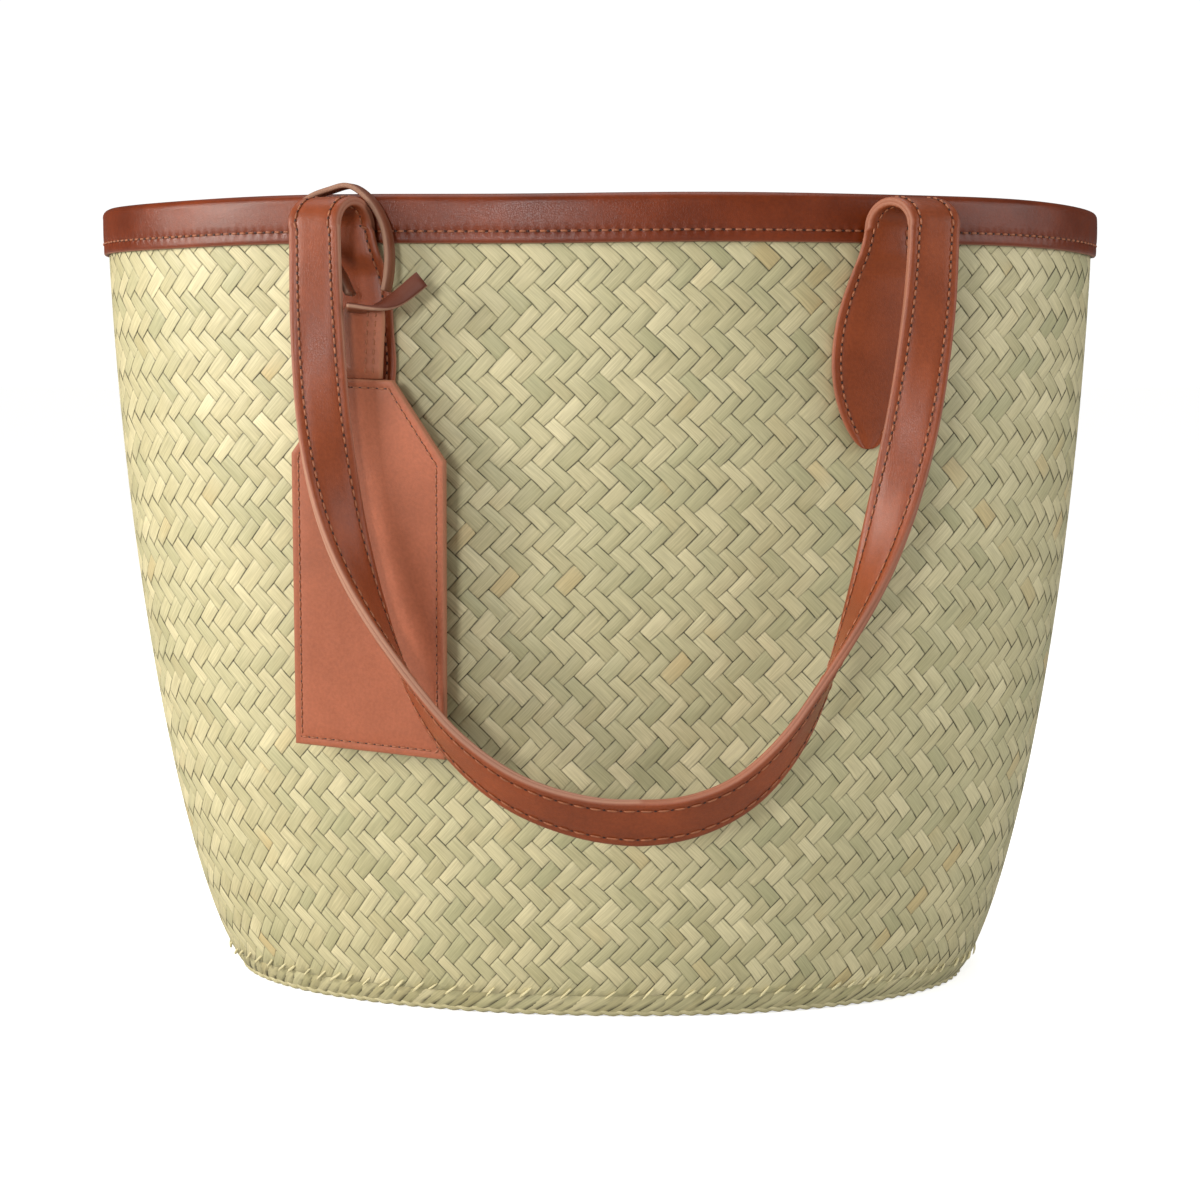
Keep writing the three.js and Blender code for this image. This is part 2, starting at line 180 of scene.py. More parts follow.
def on_wall(angle, z, out):
    """A superellipse in plan: x = a sin^(2/n), y = -b cos^(2/n) of the angle, which is 0 at the
    front middle, then moved out along its normal and turned."""
    angle, z, out = np.broadcast_arrays(angle, np.asarray(z, float), out)
    a, b, n, turn = plan(z)
    s, c = np.sin(angle), -np.cos(angle)
    x = a * np.sign(s) * np.abs(s) ** (2 / n)
    y = b * np.sign(c) * np.abs(c) ** (2 / n)
    nx = np.sign(x) * np.abs(x / a) ** (n - 1) / a
    ny = np.sign(y) * np.abs(y / b) ** (n - 1) / b
    k = out / np.hypot(nx, ny)
    x, y = x + nx * k, y + ny * k
    return np.stack([x * np.cos(turn) - y * np.sin(turn), x * np.sin(turn) + y * np.cos(turn), z], -1)


GIRTH_AT = 190                      # height at which the cells are spaced evenly round the wall
dense = np.linspace(0, 2 * math.pi, 6001)
round_wall = on_wall(dense, GIRTH_AT, 0.0)
GIRTH = np.append(0, np.cumsum(np.linalg.norm(np.diff(round_wall, axis=0), axis=1)))

climb = np.linspace(BRAID_TOP, PLAIT_TOP, 2001)
half_length, half_width, _, _ = plan(climb)
stride = np.hypot(np.gradient(climb),
                  np.hypot(np.gradient(half_length), np.gradient(half_width)) / math.sqrt(2))
ROWS = (np.cumsum(stride) - stride[0]) / CELL_UP


def angle_at(cell):
    """The plan angle at a number of cells round the wall, evenly spaced along its girth."""
    return np.interp(np.mod(cell, CELLS_ROUND) / CELLS_ROUND * GIRTH[-1], GIRTH, dense)


def grid_faces(rows, columns, closed_rows=False, closed_columns=False):
    """Faces of a grid of points numbered row by row; a closed direction joins its last to its first."""
    r = np.arange(rows if closed_rows else rows - 1)[:, None]
    c = np.arange(columns if closed_columns else columns - 1)[None, :]
    r2, c2 = (r + 1) % rows, (c + 1) % columns
    return np.stack(np.broadcast_arrays(
        r * columns + c, r * columns + c2, r2 * columns + c2, r2 * columns + c), -1).reshape(-1, 4)


def blocks_of(block, points_each, count):
    """The faces of many alike blocks of points that are numbered one block after another."""
    return (block[None] + (np.arange(count) * points_each)[:, None, None]).reshape(-1, block.shape[1])


def tube_faces(rings, corners):
    """Faces that join rings of points in order, and a flat cap on the first ring and on the last."""
    ring = np.arange(corners)
    return [grid_faces(rings, corners, False, True),
            np.stack([ring[::-1], (rings - 1) * corners + ring])]


def make_piece(name, points, faces, material, uv=None, marks=(), flip=False):
    """A mesh object from an array of points in millimetres and a list of arrays of faces. The pair of
    UV coordinates and the named marks, if given, spread over the shape of the array of points."""
    shape = points.shape[:-1]
    mesh = bpy.data.meshes.new(name)
    mesh.from_pydata((points.reshape(-1, 3) * 0.001).tolist(), [],
                     [face for block in faces for face in block[:, ::-1 if flip else 1].tolist()])
    mesh.polygons.foreach_set("use_smooth", np.ones(len(mesh.polygons), bool))
    if uv is not None:
        corners = np.empty(len(mesh.loops), np.int32)
        mesh.loops.foreach_get("vertex_index", corners)
        u, v = (np.broadcast_to(part, shape).ravel()[corners] for part in uv)
        layer = mesh.uv_layers.new(name="strip")
        layer.data.foreach_set("uv", np.stack([u, v], -1).astype(np.float32).ravel())
    for mark, values in dict(marks).items():
        attribute = mesh.attributes.new(mark, "FLOAT", "POINT")
        attribute.data.foreach_set("value", np.broadcast_to(values, shape).astype(np.float32).ravel())
    mesh.materials.append(material)
    mesh.update()
    piece = bpy.data.objects.new(name, mesh)
    scene.collection.objects.link(piece)
    return piece


def palm_leaf(name, pale, dark, green, tan, gloss):
    """Dried palm leaf: satin, with fine fibres along the strip 0.45 mm apart and 14 mm long, blotches
    of 5 by 9 mm, and a tone that differs from strip to strip and wanders along each one. Its edge
    mark paints shade: dark lines between the strips and on the parts that pass under them."""
    material, tree, shader = new_material(name, Roughness=gloss, IOR=1.46, Specular_IOR_Level=0.45)
    along = add_node(tree, "UVMap")
    fibre, blotch = (
        add_node(tree, "TexNoise", Scale=1.0, Detail=detail, Vector=add_node(
            tree, "VectorMath", {"operation": "MULTIPLY"}, i0=along.outputs[0],
            i1=(1 / across, 1 / length, 1)).outputs[0])
        for across, length, detail in ((0.45, 14, 2.0), (5, 9, 3.0)))
    tone, leaf_green, leaf_tan, edge = (
        add_node(tree, "Attribute", {"attribute_name": mark}).outputs["Fac"]
        for mark in ("tone", "green", "tan", "edge"))
    strength = add_node(tree, "Math", {"operation": "MULTIPLY_ADD"}, i0=blotch.outputs["Fac"], i1=0.45,
                        i2=add_node(tree, "Math", {"operation": "SUBTRACT"}, i0=tone, i1=0.22).outputs[0])
    straw = add_node(tree, "Mix", {"data_type": "RGBA"}, i0=strength.outputs[0],
                     i6=linear(dark), i7=linear(pale))
    greened = add_node(tree, "Mix", {"data_type": "RGBA"}, i0=leaf_green,
                       i6=straw.outputs[2], i7=linear(green))
    tanned = add_node(tree, "Mix", {"data_type": "RGBA"}, i0=leaf_tan,
                      i6=greened.outputs[2], i7=linear(tan))
    lines = add_node(tree, "MapRange", i0=fibre.outputs["Fac"], i1=0.3, i2=0.7, i3=0.84, i4=1.1)
    depth = add_node(tree, "MapRange", i0=blotch.outputs["Fac"], i1=0.42, i2=0.58, i3=0.1, i4=0.8)
    # painted shade: the edge mark darkens each strip's edges and the parts that pass under, by an amount
    # that varies in blotches
    shade = add_node(tree, "MapRange", i0=edge, i1=FLAT_SHARE + 0.01, i2=1.0, i3=1.0, i4=depth.outputs[0])
    both = add_node(tree, "Math", {"operation": "MULTIPLY"}, i0=lines.outputs[0], i1=shade.outputs[0])
    colour = add_node(tree, "VectorMath", {"operation": "SCALE"}, i0=tanned.outputs[2],
                      Scale=both.outputs[0])
    relief = add_node(tree, "Bump", Strength=0.35, Distance=0.0002, Height=fibre.outputs["Fac"])
    tree.links.new(colour.outputs[0], shader.inputs["Base Color"])
    tree.links.new(relief.outputs[0], shader.inputs["Normal"])
    return material


LEAF_WIDTH, LEAF_SHARE = 5.4, 0.98   # width of a strip, and the share of its place that it fills
LEAF_RISE, LEAF_BEVEL = 0.27, 0.13   # how far it goes over and under; how far its edges turn down
FLAT_SHARE = 0.86                    # share of its width between the turned edges
STEEP = 5.0                          # how sharply it changes from over to under
UNEVEN = 0.13                        # how far its edge may stray, as a share of its place
LEAF_APART, SLANT_APART = 37.7, 13.1     # steps through the fibres from strip to strip and slant to slant
TONE, GREEN, TAN = 0.5, 0.16, -0.9       # middle of each mark, where less than 0 is none
TONE_VARIES, GREEN_VARIES, TAN_VARIES = 0.13, 0.22, 0.5
GREEN_MOST, TAN_MOST = 0.7, 0.6
SHORT_DRIFT, LONG_DRIFT = 7, 14          # samples along a strip over which a mark drifts
PALM = palm_leaf("dried palm leaf", "dfd4aa", "ada47a", "a5a37b", "c6ad78", 0.5)


def wander(strips, samples, step, spread):
    """A smooth random value along each strip: random knots `step` samples apart, joined by a
    smooth curve, with one more random value for the whole strip."""
    knots = rng.normal(0, spread, (strips, samples // step + 3))
    t = np.arange(samples) / step
    i = t.astype(int)
    f = (t - i) ** 2 * (3 - 2 * (t - i))
    return knots[:, i] * (1 - f) + knots[:, i + 1] * f + rng.normal(0, spread, (strips, 1))


edge_shift = {slant: rng.uniform(-UNEVEN, UNEVEN, CELLS_ROUND) for slant in (1, -1)}


def uneven(slant, place_in_lattice):
    """Where the lines between the strips of one slant lie: each is moved a little off its even
    place, so that the strips differ in width and neighbours still touch."""
    number = np.floor(place_in_lattice).astype(int)
    part = place_in_lattice - number
    shift = edge_shift[slant]
    return (place_in_lattice + shift[number % CELLS_ROUND] * (1 - part)
            + shift[(number + 1) % CELLS_ROUND] * part)


def plait(name, slant, base, columns, stops, place, flip, rows=ROWS[-1], facing=1):
    """All the strips of one slant, on a slanting lattice. Along a strip the height over the middle of
    the plait is a steep wave with a period of four crossings, so it passes over two and under two;
    across it the strip is flat with its edges turned down. `stops` are the places in two crossings
    where it is sampled, and `place` puts cells round, cells up and height into space. `facing` is
    1 for the face of the plait that looks along the height, and -1 for the other."""
    count, lag = CELLS_ROUND, (0 if slant > 0 else 1)
    along = (np.arange(-2, int(rows * 2) + 2, 2)[:, None] + stops + lag).ravel()
    along = along[(along >= -1) & (along <= rows * 2)]
    samples = len(along)
    number = np.arange(count)[:, None, None]
    across = columns * 0.5
    own = uneven(slant, number + 0.5 + across * LEAF_SHARE)
    crossed = uneven(-slant, number + slant * along[None, :, None])
    over = np.tanh(STEEP * np.cos(math.pi * (along - 1 - lag) / 2))[None, :, None]
    bevel = np.where(np.abs(columns) == 1, -facing * LEAF_BEVEL, 0.0)
    # painted shade: full at a strip's edges and wherever it passes under another, where shade falls
    # between the strips
    outline = np.maximum(np.abs(columns), np.where(facing * over < 0.01, 1.0, FLAT_SHARE))
    cell, row, out = np.broadcast_arrays(
        (crossed + own) / 2, slant * (crossed - own) / 2, base + LEAF_RISE * over + bevel)
    run = (along * CELL_UP / math.sqrt(2))[None, :, None]
    tone = TONE + TONE_VARIES * wander(count, samples, SHORT_DRIFT, 0.8)
    green = np.clip(GREEN + GREEN_VARIES * wander(count, samples, LONG_DRIFT, 0.8), 0, GREEN_MOST)
    tan = np.clip(TAN_VARIES * wander(count, samples, SHORT_DRIFT, 0.9) + TAN, 0, TAN_MOST)
    faces = blocks_of(grid_faces(samples, len(columns)), samples * len(columns), count)
    return make_piece(name, place(cell, row, out), [faces], PALM,
                      (across * LEAF_WIDTH + number * LEAF_APART + lag * SLANT_APART, run),
                      {"tone": tone[..., None], "green": green[..., None], "tan": tan[..., None],
                       "edge": outline}, flip)


TALLER = 0.1                                    # how much taller every second row is
WAVES = ((0.05, 3, 0.4), (0.04, 7, -0.23))      # rows up, number round the wall, drift from row to row


def wall_place(cell, row, out):
    """Cells round and rows up, with every second row a little taller and each row slightly wavy."""
    angle = angle_at(cell)
    row = row + TALLER * (1 - np.cos(math.pi * row)) / math.pi
    wave = sum(height * np.sin(number * angle + drift * row) for height, number, drift in WAVES)
    return on_wall(angle, np.interp(row + wave, ROWS, climb), out)


CLOSE_STOPS = np.array([0.0, 0.07, 0.3, 1.0, 1.7, 1.93])
FEW_STOPS = np.array([0.0, 0.2, 1.0, 1.8])
BEVELLED = np.array([-1, -FLAT_SHARE, FLAT_SHARE, 1])
PLAIN = np.array([-1, 0, 1])
OUTER, INNER = -0.42, 0.45 - PLAIT      # middle of each face of the plait, out from the wall's surface
for name, slant, base, columns, stops, flip in (
        ("plait_rising_right", 1, OUTER, BEVELLED, CLOSE_STOPS, True),
        ("plait_rising_left", -1, OUTER, BEVELLED, CLOSE_STOPS, True),
        ("plait_inside_rising_right", 1, INNER, PLAIN, FEW_STOPS, False),
        ("plait_inside_rising_left", -1, INNER, PLAIN, FEW_STOPS, False)):
    strips = plait(name, slant, base, columns, stops, wall_place, flip, facing=1 if flip else -1)
    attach(strips, "basket")
    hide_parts("basket_wall")


# ---- hidden layer of the plait ---------------------------------------------------------------
# The undersides of the strips lie in the shade between the two faces of the plait. One thin dark
# shell stands for them, so that no light comes through where four strips meet.
shade_material, tree, shader = new_material("shaded palm leaf", Roughness=0.8)
leaf = add_node(tree, "TexCoord")
mottle = add_node(tree, "TexNoise", Vector=leaf.outputs["Object"], Scale=180.0, Detail=2.0)
ramp = add_node(tree, "Mix", {"data_type": "RGBA"}, i0=mottle.outputs["Fac"],
                i6=linear("4a4527"), i7=linear("6b6338"))
tree.links.new(ramp.outputs[2], shader.inputs["Base Color"])
CORE_ROUND, CORE_UP = 240, 60
CORE_OUTER, CORE_INNER = -1.15, -1.35
core_ring = np.linspace(0, 2 * math.pi, CORE_ROUND, endpoint=False)[:, None]
core_up = np.linspace(2.0, PLAIT_TOP, CORE_UP)
core_points = on_wall(core_ring, np.append(core_up, core_up[::-1])[None],
                      np.repeat([CORE_OUTER, CORE_INNER], CORE_UP)[None])
core = make_piece("plait_core", core_points, [grid_faces(CORE_ROUND, 2 * CORE_UP, True, True)],
                  shade_material)
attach(core, "basket")


# ---- border braid ----------------------------------------------------------------------------
# A narrow flat braid of the same leaf, made apart and laced under the wall. Its strips are narrower
# and lie at a low slant, and its lower edge is rolled into a knobbly rope that the bag stands on.
BRAID_STRIPS, BRAID_STEPS, BRAID_COLUMNS = 150, 7, 4
BRAID_FOOT, BRAID_RISE = 2.1, 7.6       # height of its lower edge, and how far its strips climb
BRAID_LEAN, BRAID_LAP = 2.1, 1.5        # places a strip passes on its way up, and its width in places
BRAID_CROWN, BRAID_TILT, BRAID_SINK = 0.4, 0.75, -1.0       # out: a strip's middle, its edge, the braid
BRAID_WIDTH, BRAID_LENGTH, BRAID_APART = 4.5, 12, 31.3
strip_number = np.arange(BRAID_STRIPS)[:, None, None]
braid_up = np.linspace(0, 1, BRAID_STEPS)[None, :, None]
braid_across = np.linspace(-0.5, 0.5, BRAID_COLUMNS)[None, None, :]
jitter = rng.normal(0, 1, (BRAID_STRIPS, 3))[:, :, None, None]
around_braid = (strip_number + 0.5 + jitter[:, 0] * 0.1 + braid_up * BRAID_LEAN
                + braid_across * BRAID_LAP) / BRAID_STRIPS
braid_z = BRAID_FOOT + braid_up * (BRAID_RISE + 0.4 * jitter[:, 1]) - braid_across * 1.7
braid_out = (BRAID_SINK + 0.55 * np.sin(math.pi * np.clip(braid_up + 0.05, 0, 1))
             + braid_across * BRAID_TILT + BRAID_CROWN * (1 - (2 * braid_across) ** 2))
braid_points = on_wall(angle_at(around_braid * CELLS_ROUND), np.clip(braid_z, 0.4, 12), braid_out)
# The edge mark paints shade into the lines between the braid's strips.
braid = make_piece(
    "border_braid", braid_points,
    [blocks_of(grid_faces(BRAID_STEPS, BRAID_COLUMNS), BRAID_STEPS * BRAID_COLUMNS, BRAID_STRIPS)], PALM,
    (braid_across * BRAID_WIDTH + strip_number * BRAID_APART, braid_up * BRAID_LENGTH),
    {"tone": 0.3 + 0.16 * jitter[:, 2], "green": 0.2 + 0.15 * jitter[:, 0],
     "tan": np.clip(0.3 * jitter[:, 1] - 0.35, 0, 0.5),
     "edge": 0.72 + 0.28 * np.abs(2 * braid_across)}, flip=True)

ROPE_STEPS, ROPE_CORNERS = 1400, 14
ROPE_KNOBS = 128                       # round the whole bag
ROPE_UP, ROPE_IN = 1.75, 1.5            # height of its middle line, and how far it is inside the wall
ROPE_RADIUS, ROPE_SWELL = 1.38, 0.3
rope_step = np.arange(ROPE_STEPS)
rope_angle = angle_at(rope_step / ROPE_STEPS * CELLS_ROUND)
foot_knob = (rope_step / ROPE_STEPS * ROPE_KNOBS * 2 * math.pi)[:, None]
rope_path = on_wall(rope_angle, ROPE_UP, -ROPE_IN)
rope_out = on_wall(rope_angle, ROPE_UP, 1 - ROPE_IN) - rope_path
around_rope = np.linspace(0, 2 * math.pi, ROPE_CORNERS, endpoint=False)[None, :]
strands = np.cos(2 * around_rope + foot_knob)
radius = (ROPE_RADIUS + ROPE_SWELL * strands)[..., None]
rope_points = (rope_path[:, None] + np.array([0, 0, 1]) * (np.sin(around_rope)[..., None] * radius)
               + rope_out[:, None] * (np.cos(around_rope)[..., None] * radius))
rope_points[..., 2] = np.maximum(rope_points[..., 2], 0.02)
# The edge mark paints shade into the grooves between the rope's twisted strands.
rope = make_piece(
    "foot_rope", rope_points, [grid_faces(ROPE_STEPS, ROPE_CORNERS, True, True)], PALM,
    (around_rope * 1.5, rope_step[:, None] * 0.6),
    {"tone": 0.45 + 0.14 * np.cos(0.5 * foot_knob), "green": 0.25, "tan": 0.05,
     "edge": np.clip(-0.9 * strands, 0, 1)}, flip=True)
for piece in (braid, rope):
    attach(piece, "basket")
    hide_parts("base_border_braid")


# ---- base ------------------------------------------------------------------------------------
# An oval sheet of the same plait, laced inside the border braid. Its upper face shows inside the
# bag, and its lower face shows when the bag is tipped over.
BASE_CELL, BASE_ROWS = 7.7, 28
BASE_UPPER, BASE_LOWER = 2.5, 0.75      # heights of its two faces
BASE_IN = 3                             # from the wall's surface to the edge of the sheet


def base_place(level):
    """Cells to the right and cells back, on a flat sheet at a level."""
    def place(cell, row, out):
        x = (cell - CELLS_ROUND / 2) * BASE_CELL
        y = (row - BASE_ROWS / 2) * BASE_CELL
        return np.stack([x, y, level + (out if level == BASE_UPPER else -out)], -1)
    return place


for name, slant, level in (
        ("base_inside_rising_right", 1, BASE_UPPER), ("base_inside_rising_left", -1, BASE_UPPER),
        ("base_under_rising_right", 1, BASE_LOWER), ("base_under_rising_left", -1, BASE_LOWER)):
    sheet = plait(name, slant, -0.1, PLAIN, FEW_STOPS, base_place(level), level == BASE_UPPER, BASE_ROWS)
    mesh = sheet.data
    co = np.empty(len(mesh.vertices) * 3, np.float32)
    mesh.vertices.foreach_get("co", co)
    co = co.reshape(-1, 3) * 1000
    a, b, n, turn = plan(np.array(1.0))
    x = co[:, 0] * math.cos(-turn) - co[:, 1] * math.sin(-turn)
    y = co[:, 0] * math.sin(-turn) + co[:, 1] * math.cos(-turn)
    outside = (np.abs(x / (a - BASE_IN)) ** n + np.abs(y / (b - BASE_IN)) ** n) > 1
    cut = bmesh.new()
    cut.from_mesh(mesh)
    cut.verts.ensure_lookup_table()
    bmesh.ops.delete(cut, geom=[v for v, gone in zip(cut.verts, outside) if gone], context="VERTS")
    cut.to_mesh(mesh)
    cut.free()
    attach(sheet, "basket")
    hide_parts("basket_base")

# A thin dark shell between the base's two faces, in the painted shade of the shaded palm leaf, stands for
# the shaded undersides of its strips.
base_levels = np.array([1.1, 1.1, 1.9, 1.9])
base_share = np.array([1e-3, 1, 1, 1e-3])                 # from the middle out to the edge and back
base_core_points = on_wall(core_ring, 0, np.full((1, 4), -2.2)) * base_share[:, None]
base_core_points[..., 2] = base_levels
first_column = np.arange(CORE_ROUND) * 4
base_core = make_piece(
    "base_core", base_core_points,
    [grid_faces(CORE_ROUND, 4, True, False), np.stack([first_column[::-1], first_column + 3])],
    shade_material)
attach(base_core, "basket")


# ---- lacing ----------------------------------------------------------------------------------
# Pale raffia, one strand worked over the seam between wall and border braid in slanting stitches.
ROD_STEPS, ROD_CORNERS = 6, 6


def unit(v):
    """The vector with a length of 1."""
    return v / np.linalg.norm(v, axis=-1, keepdims=True)


def stitch_rods(centre, run, out, length, width, stand, sink=0.0, flat=0.8):
    """Stitches as short rods: each one's middle line is a low arch, highest at its middle, and its
    ends go down into their holes. Returns the points and faces of all of them together."""
    count = len(centre)
    t = np.linspace(-1, 1, ROD_STEPS)
    turn = np.linspace(0, 2 * math.pi, ROD_CORNERS, endpoint=False)
    length, width = (np.broadcast_to(v, count)[:, None] for v in (length, width))
    run = unit(run)
    side = np.cross(out, run)
    line = (centre[:, None] + run[:, None] * (t * length / 2)[..., None]
            + out[:, None] * (stand * (1 - t ** 4) - sink)[None, :, None])
    radius = width / 2 * np.sqrt(np.clip(1.04 - t ** 4, 0.05, 1))
    points = (line[:, :, None] + side[:, None, None] * (radius[..., None] * np.cos(turn))[..., None]
              + out[:, None, None] * (radius[..., None] * np.sin(turn) * flat)[..., None])
    faces = [blocks_of(block, ROD_STEPS * ROD_CORNERS, count)
             for block in tube_faces(ROD_STEPS, ROD_CORNERS)]
    return points.reshape(-1, 3), faces


def fibre_material(name, pale, dark, gloss, spacing):
    """A strand whose fine twisted fibres show as light and dark streaks `spacing` mm apart. Where
    the hole mark is set it is near black: painted shade inside a needle hole.
    """
    material, tree, shader = new_material(name, Roughness=gloss)
    place = add_node(tree, "TexCoord")
    streak = add_node(tree, "TexNoise", Vector=place.outputs["Object"], Scale=1000 / spacing / 4,
                      Detail=3.0)
    strand = add_node(tree, "Mix", {"data_type": "RGBA"}, i0=streak.outputs["Fac"],
                      i6=linear(dark), i7=linear(pale))
    # painted shade: where the hole mark is 1 the strand turns near black, the shade inside a needle hole
    hole = add_node(tree, "Attribute", {"attribute_name": "hole"})
    colour = add_node(tree, "Mix", {"data_type": "RGBA"}, i0=hole.outputs["Fac"],
                      i6=strand.outputs[2], i7=linear("3c1a0e"))
    relief = add_node(tree, "Bump", Strength=0.5, Distance=0.0001, Height=streak.outputs["Fac"])
    tree.links.new(colour.outputs[2], shader.inputs["Base Color"])
    tree.links.new(relief.outputs[0], shader.inputs["Normal"])
    return material


RAFFIA = fibre_material("raffia", "e2d9ae", "bdb180", 0.6, 0.5)
LACES = 106
LACE_UP, LACE_OUT = 9.4, 0.15           # where its stitches lie: the seam's height, out from the wall
lace_angle = angle_at((np.arange(LACES) + rng.normal(0, 0.1, LACES)) / LACES * CELLS_ROUND)
lace_z = LACE_UP + rng.normal(0, 0.3, LACES)
lace_centre = on_wall(lace_angle, lace_z, LACE_OUT)
lace_out = on_wall(lace_angle, lace_z, LACE_OUT + 1) - lace_centre
lace_round = unit(on_wall(lace_angle + 0.004, lace_z, LACE_OUT) - lace_centre)
lace_run = lace_round * rng.uniform(0.7, 1.1, (LACES, 1)) + np.array([0, 0, 0.75])
lace_points, lace_faces = stitch_rods(lace_centre, lace_run, lace_out,
                                      rng.uniform(4.5, 7, LACES), rng.uniform(0.8, 1.25, LACES), 0.35)
lacing = make_piece("base_lacing_raffia", lace_points, lace_faces, RAFFIA)
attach(lacing, "basket")
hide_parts("base_lacing")


# ---- rim binding -----------------------------------------------------------------------------
# One strip of smooth saddle leather folded over the raw edge of the plait and sewn through with a
# single row. The stitches pull it in along the seam, and it puckers slightly round the ends.
def saddle_leather(name, face, deep, gloss, cut="9c6e56", grain=0.75):
    """Smooth drum-dyed saddle leather, semi-gloss: its grain is a net of shallow creases `grain` mm
    apart, its dye is uneven over a few centimetres, and its cut edges are paler and matt."""
    material, tree, shader = new_material(name, IOR=1.5, Specular_IOR_Level=0.42)
    place = add_node(tree, "TexCoord").outputs["Object"]
    patchy = add_node(tree, "TexNoise", Vector=place, Scale=35.0, Detail=4.0, Roughness=0.6)
    speck = add_node(tree, "TexNoise", Vector=place, Scale=900.0, Detail=2.0)
    cell = add_node(tree, "TexVoronoi", {"feature": "DISTANCE_TO_EDGE"}, Vector=place,
                    Scale=1000 / grain)
    crease = add_node(tree, "MapRange", i0=cell.outputs["Distance"], i1=0.0, i2=0.12, i3=0.0, i4=1.0)
    amount = add_node(tree, "MapRange", i0=patchy.outputs["Fac"], i1=0.32, i2=0.68)
    dyed = add_node(tree, "Mix", {"data_type": "RGBA"}, i0=amount.outputs[0],
                    i6=linear(deep), i7=linear(face))
    specked = add_node(tree, "MapRange", i0=speck.outputs["Fac"], i1=0.3, i2=0.7, i3=0.9, i4=1.08)
    toned = add_node(tree, "VectorMath", {"operation": "SCALE"}, i0=dyed.outputs[2],
                     Scale=specked.outputs[0])
    edge = add_node(tree, "Attribute", {"attribute_name": "cut_edge"}).outputs["Fac"]
    edged = add_node(tree, "Mix", {"data_type": "RGBA"}, i0=edge, i6=toned.outputs[0], i7=linear(cut))
    suede = add_node(tree, "Attribute", {"attribute_name": "suede"})
    colour = add_node(tree, "Mix", {"data_type": "RGBA"}, i0=suede.outputs["Fac"],
                      i6=edged.outputs[2], i7=linear("5a2610"))
    dull = add_node(tree, "MapRange", i0=edge, i1=0.0, i2=1.0, i3=gloss, i4=0.75)
    rougher = add_node(tree, "Math", {"operation": "MULTIPLY_ADD"}, i0=patchy.outputs["Fac"], i1=0.16,
                       i2=add_node(tree, "Math", {"operation": "SUBTRACT"}, i0=dull.outputs[0],
                                   i1=0.08).outputs[0])
    relief = add_node(tree, "Bump", Strength=0.22, Distance=0.00012, Height=crease.outputs[0])
    broad = add_node(tree, "Bump", Strength=0.12, Distance=0.0008, Height=patchy.outputs["Fac"],
                     Normal=relief.outputs[0])
    tree.links.new(colour.outputs[2], shader.inputs["Base Color"])
    tree.links.new(rougher.outputs[0], shader.inputs["Roughness"])
    tree.links.new(broad.outputs[0], shader.inputs["Normal"])
    return material


LEATHER = saddle_leather("smooth saddle leather", "7a3009", "622406", 0.34)
BIND_LOW, SEAM_UP, SKIN = 279, 4.1, 1.3     # its lower edge, the seam above that, its thickness
BIND_STEPS, BIND_STITCH = 1440, 262
BIND_GAP = 0.35                             # between the plait and the leather
FOLD_MIDDLE, FOLD_UP, FOLD_INSIDE = 293.2, 2.85, 292    # the fold over the rim, and the rim inside it
bind_out = BIND_GAP + SKIN
bind_in = -PLAIT - BIND_GAP - SKIN
crown = (bind_out + bind_in) / 2
over = np.linspace(math.pi / 2, -math.pi / 2, 11)
outer_z = BIND_LOW + np.array([0, 0.5, 1.5, 2.7, 3.5, SEAM_UP, 4.7, 5.6, 7, 9, 11.5, 13.5])
lip_out = np.array([-0.35, 0, 0.05, 0, -0.12, -0.22, -0.12, 0.05, 0.1, 0.12, 0.1, 0.03])
bind_z = np.concatenate([outer_z, FOLD_MIDDLE + FOLD_UP * np.cos(over), outer_z[::-1],
                         [BIND_LOW, FOLD_INSIDE, FOLD_INSIDE, BIND_LOW]])
bind_off = np.concatenate([
    bind_out + lip_out, crown + (bind_out - crown) * np.sin(over), bind_in - lip_out[::-1],
    [-PLAIT - 0.3, -PLAIT - 0.3, 0.3, 0.3]])


def bind_wave(angle):
    """How far the binding rises and falls round the rim: it is highest between front and ends."""
    return 0.9 * np.sin(2 * angle) ** 2 + 0.25 * np.sin(3 * angle + 0.5) + 0.2 * np.sin(8 * angle)


seam_width = np.exp(-((bind_z - BIND_LOW - SEAM_UP) / 1.1) ** 2)
bind_side = np.concatenate([np.ones(12), np.zeros(11), -np.ones(12), np.zeros(4)])
bind_angle = angle_at(np.arange(BIND_STEPS) / BIND_STEPS * CELLS_ROUND)[:, None]
stitch_phase = np.arange(BIND_STEPS)[:, None] / BIND_STEPS * BIND_STITCH * 2 * math.pi
round_the_ends = np.abs(np.sin(bind_angle)) ** 6
pucker = (round_the_ends * 0.16 * np.sin(bind_angle * 61 + 2 * np.sin(bind_angle * 9))
          * np.exp(-((bind_z[None] - BIND_LOW - 5) / 6) ** 2)
          + 0.12 * np.sin(bind_angle * 23 + 1) * np.exp(-((bind_z[None] - BIND_LOW - 9) / 8) ** 2))
dimple = -0.16 * np.cos(stitch_phase) * seam_width[None]
binding_points = on_wall(
    bind_angle, bind_z[None] + bind_wave(bind_angle),
    bind_off[None] + bind_side[None] * (pucker + dimple))
binding_edge = np.concatenate([[0.9], np.zeros(33), [0.9], np.zeros(4)])
binding = make_piece("rim_binding_leather", binding_points,
                     [grid_faces(BIND_STEPS, len(bind_z), True, True)], LEATHER,
                     marks={"cut_edge": binding_edge}, flip=True)
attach(binding, "basket")
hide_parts("rim_binding")

THREAD = fibre_material("waxed linen thread", "b87048", "74402a", 0.5, 0.35)


